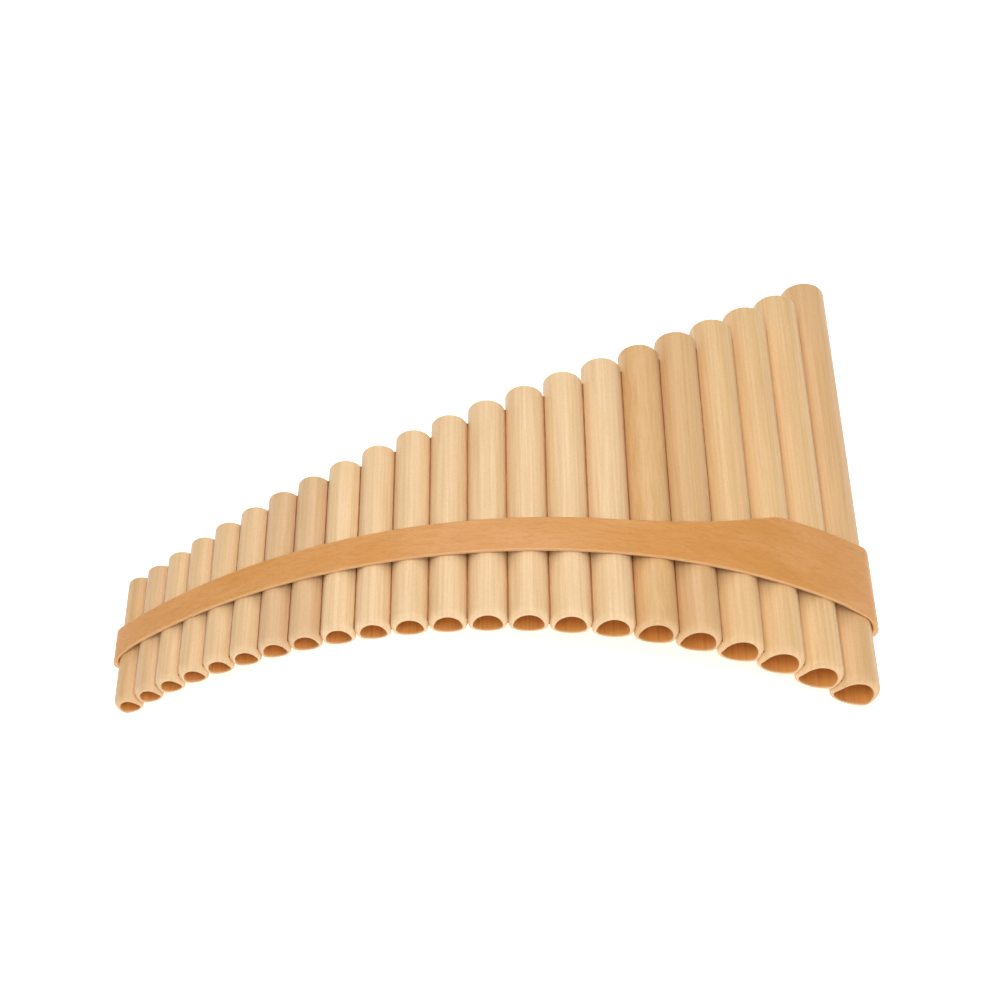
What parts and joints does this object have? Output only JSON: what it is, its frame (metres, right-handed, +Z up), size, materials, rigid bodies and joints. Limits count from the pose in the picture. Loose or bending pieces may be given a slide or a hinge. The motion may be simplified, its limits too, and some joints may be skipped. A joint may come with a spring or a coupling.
{
  "type": "pan flute",
  "caption": "Curved pan flute: a graded row of bored wooden pipes with cork stoppers, held by a bent-wood belt that wraps both ends and flares at the bass end.",
  "frame": {"origin": "under the middle of the flute's box, on the table that it lies on", "axes": "+X along the row from the short treble pipes to the long bass pipes, +Y along the pipes from the blown mouths to the closed ends, +Z up, out of the rounded front"},
  "size_m": [0.3228, 0.227, 0.077],
  "materials": {
    "pipe_wood": "satin oiled pale hardwood",
    "belt_wood": "satin oiled bent wood, warmer and darker than the pipes",
    "cork": "matt natural cork"
  },
  "bodies": {
    "root": {"pipe_01": "pipe_wood", "pipe_02": "pipe_wood", "pipe_03": "pipe_wood", "pipe_04": "pipe_wood", "pipe_05": "pipe_wood", "pipe_06": "pipe_wood", "pipe_07": "pipe_wood", "pipe_08": "pipe_wood", "pipe_09": "pipe_wood", "pipe_10": "pipe_wood", "pipe_11": "pipe_wood", "pipe_12": "pipe_wood", "pipe_13": "pipe_wood", "pipe_14": "pipe_wood", "pipe_15": "pipe_wood", "pipe_16": "pipe_wood", "pipe_17": "pipe_wood", "pipe_18": "pipe_wood", "pipe_19": "pipe_wood", "pipe_20": "pipe_wood", "pipe_21": "pipe_wood", "pipe_22": "pipe_wood", "stopper_01": "cork", "stopper_02": "cork", "stopper_03": "cork", "stopper_04": "cork", "stopper_05": "cork", "stopper_06": "cork", "stopper_07": "cork", "stopper_08": "cork", "stopper_09": "cork", "stopper_10": "cork", "stopper_11": "cork", "stopper_12": "cork", "stopper_13": "cork", "stopper_14": "cork", "stopper_15": "cork", "stopper_16": "cork", "stopper_17": "cork", "stopper_18": "cork", "stopper_19": "cork", "stopper_20": "cork", "stopper_21": "cork", "stopper_22": "cork", "front_belt": "belt_wood", "back_belt": "belt_wood"}
  },
  "joints": []
}
